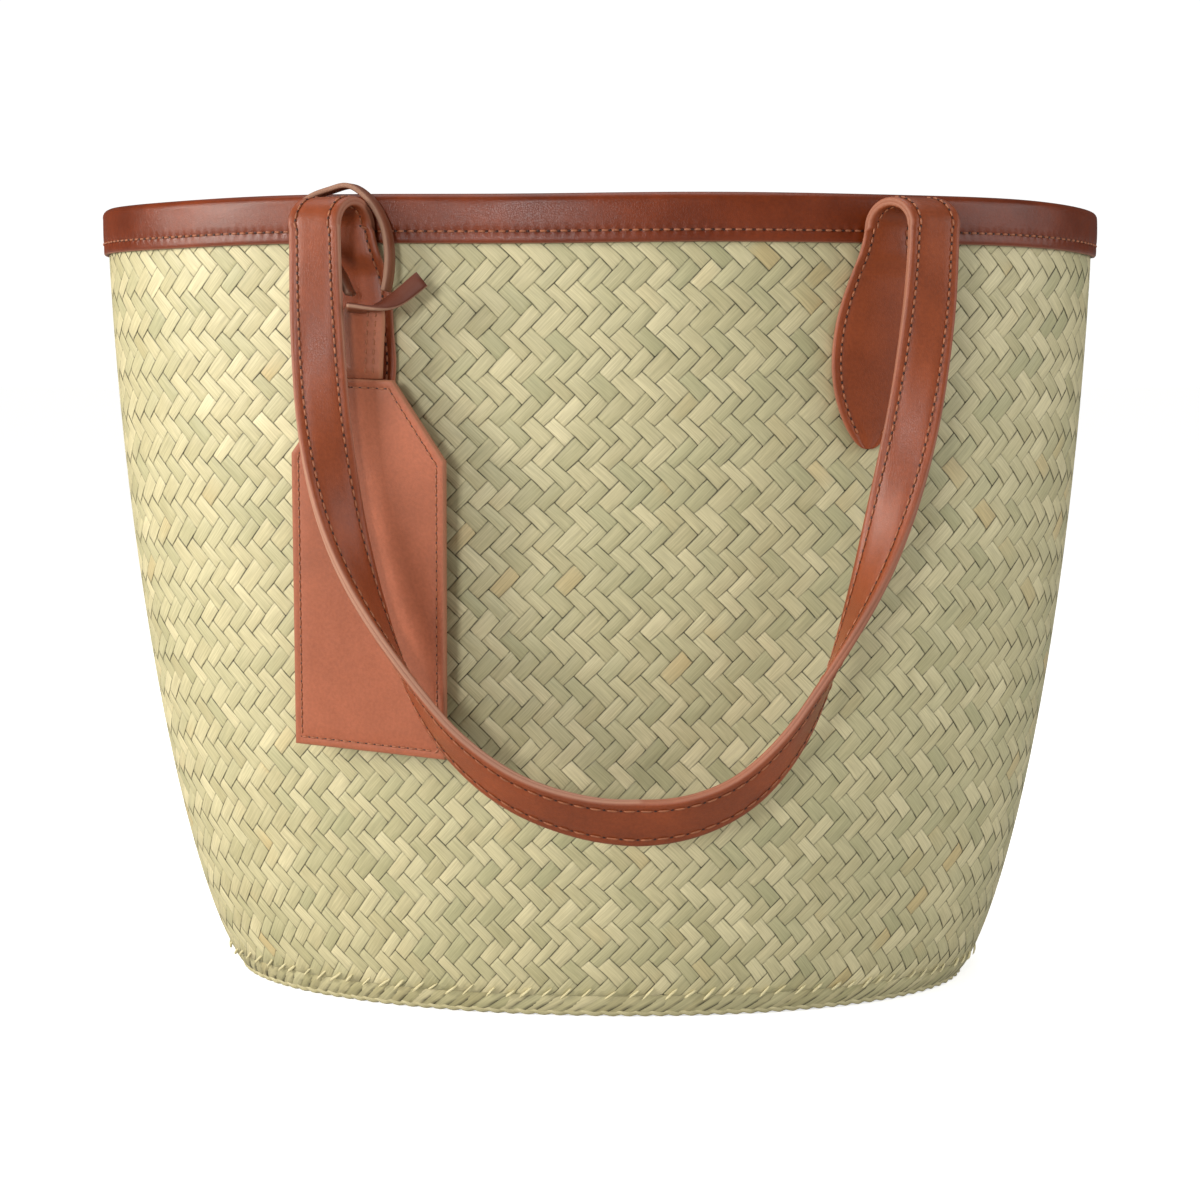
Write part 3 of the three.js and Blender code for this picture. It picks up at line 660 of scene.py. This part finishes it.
def sew(name, rows, width=0.8, share=0.7, hole=1.1):
    """A seam as one piece: a stitch for every pitch and, between stitches, a small near-black mark
    that paints the shade inside a needle hole. Rows are what along_row gives."""
    centre, run, out, pitch = (np.concatenate(column) for column in zip(*rows))
    run = unit(run)
    sewn, faces = stitch_rods(centre, run, out, pitch * share, width, 0.2, 0.05)
    holes, hole_faces = stitch_rods(centre + run * pitch[:, None] / 2, run, out, hole, 0.95 * width,
                                    0.0, 0.05, 0.45)
    faces += [block + len(sewn) for block in hole_faces]
    return make_piece(name, np.concatenate([sewn, holes]), faces, THREAD,
                      marks={"hole": np.repeat([0.0, 1.0], [len(sewn), len(holes)])})


stitch_angle = angle_at((np.arange(BIND_STITCH) + 0.5) / BIND_STITCH * CELLS_ROUND)
seam_z = BIND_LOW + SEAM_UP + bind_wave(stitch_angle)
for face, side, node_name in ((bind_out - 0.1, 1, "outer"), (bind_in + 0.1, -1, "inner")):
    centre = on_wall(stitch_angle, seam_z, face)
    out = (on_wall(stitch_angle, seam_z, face + 1) - centre) * side
    run = on_wall(stitch_angle + 0.003, seam_z, face) - centre
    pitch = np.full(BIND_STITCH, GIRTH[-1] / BIND_STITCH)
    row = sew(f"rim_{node_name}_stitches", [(centre, run, out, pitch)])
    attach(row, "basket")
    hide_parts(f"rim_binding_{node_name}_thread")


# ---- handles ---------------------------------------------------------------------------------
# Each handle is one strip of two plies, glued and sewn along both edges, with painted cut edges. Its
# leaf-shaped ends are sewn to the wall; between them it folds over, hangs, and twists half a turn.
HANDLE_X = 5
STRAP_HALF, STRAP_THICK, SEW_IN = 9.25, 3.4, 3.2
TAB_TIP, TAB_WIDE, TAB_TOP, TAB_AXIS, TAB_LEAN = 208, 243, 284.5, 89.5, 0.085
TIP_HALF, TAB_HALF, LEFT_ASIDE = 1.2, 16.5, 4
HANG = np.array([
    [102, 109.5, 284.5], [101.5, 110, 250], [99.3, 111, 216], [94, 113, 186], [86, 116, 161],
    [70, 120.5, 127], [57, 123, 107.5], [40, 124.5, 92.5], [20, 125, 84], [0, 125, 81.5]])
SWAY, SPREAD, SPREAD_FROM = 8, 6.5, 170
TWIST_START, FOLD_YAW, FOLD_SETTLE, TILT = 45, math.radians(18), 60, math.radians(24)
FOLD_RISE = 8.5


def ease(t):
    """Smooth step from 0 to 1."""
    t = np.clip(t, 0, 1)
    return t * t * (3 - 2 * t)


def on_face(x, z, out):
    """The point of the front wall at a given x: the plan angle is found by halving an interval."""
    x, z, out = np.broadcast_arrays(*(np.asarray(v, float) for v in (x, z, out)))
    low, high = np.full(x.shape, -math.pi / 2), np.full(x.shape, math.pi / 2)
    for _ in range(40):
        middle = (low + high) / 2
        left_of = on_wall(middle, z, out)[..., 0] < x
        low, high = np.where(left_of, middle, low), np.where(left_of, high, middle)
    return on_wall((low + high) / 2, z, out)


def tab_half(z):
    """Half the width of a tab: strap width at the top, widest at TAB_WIDE, pointed at the tip."""
    rise = np.clip((z - TAB_WIDE) / (TAB_TOP - TAB_WIDE), 0, 1)
    upper = TAB_HALF + (STRAP_HALF - TAB_HALF) * ease(rise ** 1.25)
    t = np.clip((z - TAB_TIP) / (TAB_WIDE - TAB_TIP), 0, 1)
    lower = TIP_HALF + (TAB_HALF - TIP_HALF) * np.sin(t * math.pi / 2) ** 0.62
    return np.where(z > TAB_WIDE, upper, lower)


def on_tab(hand, w, z, n):
    """A point of a tab: w outwards from its middle line, n towards the lining from mid-thickness."""
    rise = 0.4 + 2.75 * ease((z - 268) / 8)
    aside = LEFT_ASIDE * ease((z - 246) / 26) if hand < 0 else 0
    x = HANDLE_X + hand * (TAB_AXIS + TAB_LEAN * (z - TAB_TIP) + w) + aside
    return on_face(x, z, rise + STRAP_THICK / 2 - n)


def smooth_through(points, per_span=60):
    """A centripetal Catmull-Rom curve through the points, as a dense list of points."""
    ends = np.vstack([2 * points[0] - points[1], points, 2 * points[-1] - points[-2]])
    knots = np.append(0, np.cumsum(np.sqrt(np.linalg.norm(np.diff(ends, axis=0), axis=1))))
    spans = []
    for i in range(1, len(ends) - 2):
        t = np.linspace(knots[i], knots[i + 1], per_span, endpoint=False)[:, None]
        (t0, t1, t2, t3), (p0, p1, p2, p3) = knots[i - 1:i + 3], ends[i - 1:i + 3]
        a1 = (t1 - t) / (t1 - t0) * p0 + (t - t0) / (t1 - t0) * p1
        a2 = (t2 - t) / (t2 - t1) * p1 + (t - t1) / (t2 - t1) * p2
        a3 = (t3 - t) / (t3 - t2) * p2 + (t - t2) / (t3 - t2) * p3
        b1 = (t2 - t) / (t2 - t0) * a1 + (t - t0) / (t2 - t0) * a2
        b2 = (t3 - t) / (t3 - t1) * a2 + (t - t1) / (t3 - t1) * a3
        spans.append((t2 - t) / (t2 - t1) * b1 + (t - t1) / (t2 - t1) * b2)
    return np.vstack(spans + [points[-1:]])


half_hang = HANG * [1, -1, 1]
whole_hang = smooth_through(np.vstack([half_hang, half_hang[-2::-1] * [-1, 1, 1]]))
hang_length = np.append(0, np.cumsum(np.linalg.norm(np.diff(whole_hang, axis=0), axis=1)))
HALF_LOOP = hang_length[-1] / 2


def hang_at(down):
    """The point of the hanging middle line at a length from its top."""
    return np.stack([np.interp(down, hang_length, whole_hang[:, k]) for k in range(3)], -1)


def strap_frame(hand, down):
    """Middle, width direction and lining direction of a hanging leg at a length from its top. The
    twist grows from nothing to half a turn at the bottom, partly even and partly eased."""
    run = unit(hang_at(down + 1.0) - hang_at(np.maximum(down - 1.0, 0)))
    inside = unit(np.cross(run, [0, -1, 0]))
    forward = np.cross(inside, run)
    t = np.maximum(0, (down - TWIST_START) / (HALF_LOOP - TWIST_START))
    twist = (math.pi * (t + ease(t)) / 2 - TILT * ease(2 * t - 1)
             - FOLD_YAW * (1 - ease(down / FOLD_SETTLE)))[..., None]
    wide = -np.cos(twist) * inside + np.sin(twist) * forward
    face = np.cross(run, wide)
    middle = hang_at(down)
    slide = SWAY * (1 - (middle[..., 0] / HANG[0, 0]) ** 2) ** 3
    mirror = np.array([hand, 1, 1])
    middle, wide, face = middle * mirror, wide * mirror, face * mirror
    spread = SPREAD * ease((middle[..., 2] - SPREAD_FROM) / (TAB_TOP - SPREAD_FROM)) if hand > 0 else 0
    middle[..., 0] += HANDLE_X + slide + spread
    return middle, wide, face


def on_fold(hand, w, turn, n):
    """A point of a fold: a half circle from the tab's top (turn 0) over to the leg (turn pi)."""
    leg, leg_wide, _ = strap_frame(hand, np.array(0.0))
    root = on_tab(hand, 0.0, TAB_TOP, 0.0)
    root_wide = unit(on_tab(hand, 5.0, TAB_TOP, 0.0) - on_tab(hand, -5.0, TAB_TOP, 0.0))
    share = ((1 - np.cos(turn)) / 2)[..., None]
    middle = root + (leg - root) * share
    middle = middle + np.array([0, 0, FOLD_RISE]) * np.sin(turn)[..., None]
    flat = unit((leg - root) * [1, 1, 0])
    outwards = flat * -np.cos(turn)[..., None] + np.array([0, 0, 1]) * np.sin(turn)[..., None]
    wide = unit(root_wide + (leg_wide - root_wide) * (turn / math.pi)[..., None])
    return middle + wide * w[..., None] + outwards * n[..., None]


def strap_station(kind, hand, t, w, n):
    """A point of the handle, on its tab (t is a height), fold (a turn) or leg (a length)."""
    t, w, n = np.broadcast_arrays(*(np.asarray(v, float) for v in (t, w, n)))
    if kind == "tab":
        return on_tab(hand, w, t, n)
    if kind == "fold":
        return on_fold(hand, w, t, n)
    middle, wide, face = strap_frame(hand, t)
    return middle + wide * w[..., None] + face * n[..., None]


# A quarter of the cross-section, from the middle of one face to the line between the plies: distance
# from the edge, height as a share of half the thickness, and how bare the cut edge is. The seams are
# pulled in, the edges are rounded, and a fine line shows between the two plies.
INWARD = np.array([99, 6.5, 4.4, 3.8, 3.2, 2.6, 2.0, 1.1, 0.45, 0.08, 0.0, 0.16])
LEVEL = np.array([1.0, 1.0, 0.98, 0.9, 0.83, 0.9, 0.99, 0.98, 0.86, 0.58, 0.12, 0])
EDGE = np.array([0, 0, 0, 0, 0, 0, 0, 0, 0.25, 1, 1, 0.5])


def whole_section(quarter, other_face=1):
    """The values of a quarter mirrored to the other face, and then both to the other edge."""
    half = np.append(quarter, other_face * quarter[-2::-1])
    return np.append(half, half[-2:0:-1])


IN_LOOP, LEVEL_LOOP, EDGE_LOOP = whole_section(INWARD), whole_section(LEVEL, -1), whole_section(EDGE)
SIDE_LOOP = np.repeat([1.0, -1.0], [2 * len(INWARD) - 1, 2 * len(INWARD) - 3])


def section_w(half):
    """Distances of the cross-section's points from the middle, for half widths given."""
    half = np.asarray(half)[:, None]
    scale = np.minimum(1, half / 7)
    return SIDE_LOOP * np.maximum(0, half - IN_LOOP * scale)


def half_of(kind, t):
    """Half the handle's width at every station of one kind."""
    return tab_half(t) if kind == "tab" else np.full(len(t), STRAP_HALF)


def handle_stations():
    """Every station along the handle: kind, hand and parameters, from the left tip."""
    tip = TAB_TIP + (TAB_TOP - 1 - TAB_TIP) * np.linspace(0, 1, 56) ** 1.35
    turns = np.linspace(0.04, math.pi - 0.04, 22)
    downs = np.linspace(0.4, HALF_LOOP, 118)
    return [("tab", -1, tip), ("fold", -1, turns), ("leg", -1, downs),
            ("leg", 1, downs[-2::-1]), ("fold", 1, turns[::-1]), ("tab", 1, tip[::-1])]


def handle_skin():
    """The rings of the handle's leather in order, as an array of points in millimetres."""
    level = LEVEL_LOOP[None] * STRAP_THICK / 2
    return np.concatenate([strap_station(kind, hand, t[:, None], section_w(half_of(kind, t)), level)
                           for kind, hand, t in handle_stations()])


def along_row(points, outs, pitch):
    """Stitch centres, directions and outward directions along a line of points. The pitch is one
    number, or one for every point of the line."""
    stride = np.linalg.norm(np.diff(points, axis=0), axis=1)
    length = np.append(0, np.cumsum(stride))
    pitches = np.broadcast_to(pitch, len(points))
    sewn = np.append(0, np.cumsum(stride / pitches[1:]))
    count = max(2, round(sewn[-1]))
    at = np.interp((np.arange(count) + 0.5) / count * sewn[-1], sewn, length)
    pitch = np.interp(at, length, pitches)
    place = lambda s, v: np.stack([np.interp(s, length, v[:, k]) for k in range(3)], -1)
    step = pitch * 0.2
    run = place(np.minimum(at + step, length[-1]), points) - place(np.maximum(at - step, 0), points)
    return place(at, points), run, unit(place(at, outs)), pitch


SHORT_PITCH, TOP_PITCH, BOTTOM_PITCH = 3.3, 3.0, 5.9    # on tabs and folds, at a leg's top and bottom


def handle_rows():
    """The handle's stitch lines on both faces: round each tab, over the folds and down the legs. A
    tab's lining side lies on the wall and has none."""
    tab = ("tab", np.linspace(TAB_TIP + 5, TAB_TOP, 60))
    fold = ("fold", np.linspace(0, math.pi, 40))
    leg = ("leg", np.linspace(0.0, HALF_LOOP, 400))
    lines = []
    for sign in (1, -1):                                # the outer row and the inner row
        for face, kinds in ((1, (fold, leg)), (-1, (tab, fold, leg))):
            for hand in (-1, 1):
                parts, pitches = [], []
                for kind, t in kinds:
                    w = sign * np.maximum(half_of(kind, t) - SEW_IN, 0.3)
                    level = face * (STRAP_THICK / 2 - 0.12)
                    inner = strap_station(kind, hand, t, w, level)
                    parts.append(np.stack([inner, strap_station(kind, hand, t, w, level + face) - inner]))
                    grown = (BOTTOM_PITCH - TOP_PITCH) * (t / HALF_LOOP) ** 1.3
                    pitches.append(TOP_PITCH + grown if kind == "leg" else np.full(len(t), SHORT_PITCH))
                line, ahead = np.concatenate(parts, axis=1)
                lines.append((line, ahead, np.concatenate(pitches)))
    return lines


FACE_BROWN = saddle_leather("smooth saddle leather strap", "964722", "7e3a1c", 0.38, cut="ad7d66")
front_leather = handle_skin()
front_rows = [along_row(*row) for row in handle_rows()]
handle_faces = tube_faces(*front_leather.shape[:2])
# The cut edge is half pale all along; on the left legs it is fully pale, painted light where those legs
# face the left softbox.
edge_pale_and_painted_light = np.concatenate([np.full(len(t), 1.0 if kind == "leg" and hand < 0 else 0.5)
                            for kind, hand, t in handle_stations()])
handle_edges = EDGE_LOOP * edge_pale_and_painted_light[:, None]
for place, side in (("front", 1), ("back", -1)):
    mirror = np.array([1, side, 1])
    strap = make_piece(f"{place}_handle_leather", front_leather * mirror, handle_faces, FACE_BROWN,
                       marks={"cut_edge": handle_edges}, flip=side > 0)
    sewing = sew(f"{place}_handle_stitches", [
        (centre * mirror, run * mirror, out * mirror, pitch) for centre, run, out, pitch in front_rows])
    for piece in (strap, sewing):
        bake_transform(piece)
    ends = ("left", "right")
    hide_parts(f"{place}_strap", f"{place}_strap_lining",
                *(f"{place}_{end}_{part}" for end in ends for part in ("tab", "tab_lining", "fold")))
    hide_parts(f"{place}_strap_inner_thread", f"{place}_strap_outer_thread",
                *(f"{place}_{end}_tab_thread" for end in ends))


# ---- inner patches ---------------------------------------------------------------------------
# A leaf of thin leather inside the wall behind each tab takes the stitches of the tab.
patches = [f"{place}_{end}_inner_patch" for place in ("front", "back") for end in ("left", "right")]
for name in patches:
    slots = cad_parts[name].data.materials
    slots.clear()
    slots.append(LEATHER)


# ---- tag -------------------------------------------------------------------------------------
# Two plies of saddle leather sewn together round the edge, with the upper corners cut off, on a
# narrow neck. It hangs half turned behind the left leg of the front handle.
TAG_AT = np.array([-79.4, -103.2, 232.6])
TAG_YAW, TAG_PITCH, TAG_ROLL = math.radians(22), math.radians(4), math.radians(-2.2)
SLIT = np.array([-81.5, -104, 257.5])               # the tag hangs here, and is turned about it
TAG_FORWARD = np.array([-math.sin(TAG_YAW), -math.cos(TAG_YAW), 0])
TAG_HALF, TAG_TOP, TAG_SHOULDER, TAG_LENGTH = 29.8, 10, 27, 132
TAG_SEAM, TAG_STITCH = 2.9, 3.3                     # edge to seam, and stitch to stitch


def on_tag(across, down, out):
    """A point of the tag: across and down its face and out from its mid-plane."""
    x, y, z = (np.asarray(v, float) for v in (across, -np.asarray(out, float), -np.asarray(down, float)))
    cp, sp, cy, sy = math.cos(TAG_PITCH), math.sin(TAG_PITCH), math.cos(-TAG_YAW), math.sin(-TAG_YAW)
    y, z = y * cp - z * sp, y * sp + z * cp
    hung = np.stack(np.broadcast_arrays(x * cy - y * sy, x * sy + y * cy, z), -1) + TAG_AT - SLIT
    along = (hung @ TAG_FORWARD)[..., None] * TAG_FORWARD
    return (along + (hung - along) * math.cos(TAG_ROLL)
            + np.cross(TAG_FORWARD, hung) * math.sin(TAG_ROLL) + SLIT)


def tag_outline(inset, count=40):
    """The plate's outline at an inset, as a closed line of [across, down] with slightly eased
    corners: points spaced evenly along each side."""
    c = 0.42 * inset
    corners = np.array([
        [-TAG_TOP + c, inset], [TAG_TOP - c, inset], [TAG_HALF - inset, TAG_SHOULDER + c],
        [TAG_HALF - inset, TAG_LENGTH - inset], [-TAG_HALF + inset, TAG_LENGTH - inset],
        [-TAG_HALF + inset, TAG_SHOULDER + c]])
    t = np.linspace(0, 1, count, endpoint=False)[:, None]
    return np.vstack([a + (b - a) * t for a, b in zip(corners, np.roll(corners, -1, axis=0))])


tag_insets = np.array([8, 4.2, 3.6, TAG_SEAM, 2.2, 1.6, 0.7, 0.2, 0.0, 0.0])
tag_levels = np.array([1.5, 1.5, 1.42, 1.3, 1.42, 1.5, 1.46, 1.3, 0.9, 0.0])
tag_edges = np.array([0, 0, 0, 0, 0, 0, 0.1, 0.8, 1, 1])
tag_levels = np.append(tag_levels, -tag_levels[-2::-1])         # and on to the back
tag_insets, tag_edges = (np.append(half, half[-2::-1]) for half in (tag_insets, tag_edges))
tag_points = np.stack([on_tag(*tag_outline(inset).T, level)
                       for inset, level in zip(tag_insets, tag_levels)])
TAG_LEATHER = saddle_leather("tag leather", "a65c3e", "965236", 0.42, cut="a56f52")
tag = make_piece("tag_plate", tag_points, tube_faces(*tag_points.shape[:2]), TAG_LEATHER,
                 marks={"cut_edge": tag_edges[:, None] * 0.8}, flip=True)
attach(tag, "tag")
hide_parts("tag_front_panel", "tag_back_panel")

seam = tag_outline(TAG_SEAM)
seam = np.vstack([seam, seam[:1]]).T
tag_rows = []
for side in (1, -1):
    line = on_tag(*seam, 1.32 * side)
    tag_rows.append(along_row(line, on_tag(*seam, 2.32 * side) - line, TAG_STITCH))
tag_sewing = sew("tag_stitches", tag_rows, width=0.7)
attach(tag_sewing, "tag")
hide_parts("tag_thread")


# ---- neck of the tag and its narrow strap ----------------------------------------------------
# The neck is folded leather sewn down one side. The strap is drawn through its slit and round the
# left fold of the handle; its free end sticks out to the right with the suede side down.
def flat_strip(middle, wide, thin, half, thick):
    """A strip with rounded edges carried along a line: a ring of twelve points at every step."""
    profile = np.array([[1, 0.0], [0.97, 0.6], [0.85, 1], [0, 1], [-0.85, 1], [-0.97, 0.6], [-1, 0],
                        [-0.97, -0.6], [-0.85, -1], [0, -1], [0.85, -1], [0.97, -0.6]])
    half = np.broadcast_to(half, len(middle))[:, None, None]
    return (middle[:, None] + wide[:, None] * profile[None, :, :1] * half
            + thin[:, None] * profile[None, :, 1:] * thick)


STRIP_EDGE = np.array([1, 1, 0.2, 0, 0.2, 1, 1, 1, 0.2, 0, 0.2, 1.0])
STRIP_UNDER = np.array([0, 0, 0, 0, 0, 0, 0, 1, 1, 1, 1, 1.0])


def strip_piece(name, rings, material, **marks):
    """A closed piece from rings of twelve points."""
    piece = make_piece(name, rings, tube_faces(*rings.shape[:2]), material,
                       marks={"cut_edge": STRIP_EDGE * 0.85, **marks})
    volume = bmesh.new()
    volume.from_mesh(piece.data)
    bmesh.ops.recalc_face_normals(volume, faces=volume.faces)
    volume.to_mesh(piece.data)
    volume.free()
    return piece


def on_neck(across, down, out):
    """A point of the neck, which stands a little to the left on the plate and leans to the right."""
    lean = np.interp(-down, [0, 8, 16, 23, 25.5], [0, 0.4, 0.9, 1.5, 2])
    return on_tag(lean - NECK_LEFT + across, down, out)


NECK_LEFT, NECK_THICK = 2.6, 1.2
neck_down = np.array([-0.35, -4, -8, -12, -16, -20, -23, -25.2])
neck_half = np.array([8.5, 8.5, 8.5, 8.5, 8.5, 8.4, 8.0, 7.0])
neck_wide = np.tile(on_tag(1, 0, 0) - on_tag(0, 0, 0), (len(neck_down), 1))
neck_thin = np.tile(on_tag(0, 0, 1) - on_tag(0, 0, 0), (len(neck_down), 1))
neck = strip_piece("tag_neck_leather", flat_strip(on_neck(0, neck_down, 0), neck_wide, neck_thin,
                                                  neck_half, NECK_THICK), TAG_LEATHER)
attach(neck, "tag_hanger")
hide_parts("tag_neck")
down = np.linspace(-1.5, -24, 30)
neck_rows = [along_row(on_neck(across, down, 1.12), np.tile(neck_thin[0], (len(down), 1)), TAG_STITCH)
             for across in (2.3, 5.3)]
neck_sewing = sew("neck_stitches", neck_rows, width=0.7)
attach(neck_sewing, "tag_hanger")

NARROW_HALF, NARROW_THICK = 3.2, 0.9        # half the width of the narrow strap, half its thickness
STRIP_LEATHER = saddle_leather("narrow strap leather", "7a3f24", "6a341c", 0.5, cut="a07a64")
loop_route = smooth_through(np.array([
    [-73.4, -105, 262.6], [-72.4, -104.8, 268], [-72.2, -103.4, 276.5], [-74.2, -101, 286],
    [-79.4, -98.2, 294.4], [-86, -96, 298.8], [-93, -93.8, 297.6], [-99.8, -92.8, 295],
    [-104.6, -93.2, 290.5], [-105.2, -97.2, 284], [-100, -100.2, 278.8], [-91, -101.8, 271.5],
    [-85.5, -104.8, 261.5]]), 8)
tail_route = smooth_through(np.array([
    [-86, -111.7, 256.8], [-78, -111.5, 256.6], [-70, -111.2, 259.2], [-60.5, -111, 266.5]]), 8)
turned = ease(np.linspace(0, 1, len(tail_route)))[:, None]
tail_flat = np.array([0, -1, 0.3]) * (1 - turned) + np.array([0.61, -0.35, -0.79]) * turned
for name, route, flat, node_name, suede in (
        ("narrow_strap_loop", loop_route, (0.35, 1, 0), "tag_lanyard", 0),
        ("narrow_strap_end", tail_route, tail_flat, "tag_lanyard_tail", 1)):
    run = unit(np.gradient(route, axis=0))
    thin = unit(np.cross(run, flat))
    wide = np.cross(thin, run)
    piece = strip_piece(name, flat_strip(route, wide, thin, NARROW_HALF, NARROW_THICK), STRIP_LEATHER,
                        suede=STRIP_UNDER * suede)
    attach(piece, "basket")
    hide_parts(node_name)


# ---- last update of the scene ----------------------------------------------------------------
bpy.context.view_layer.update()
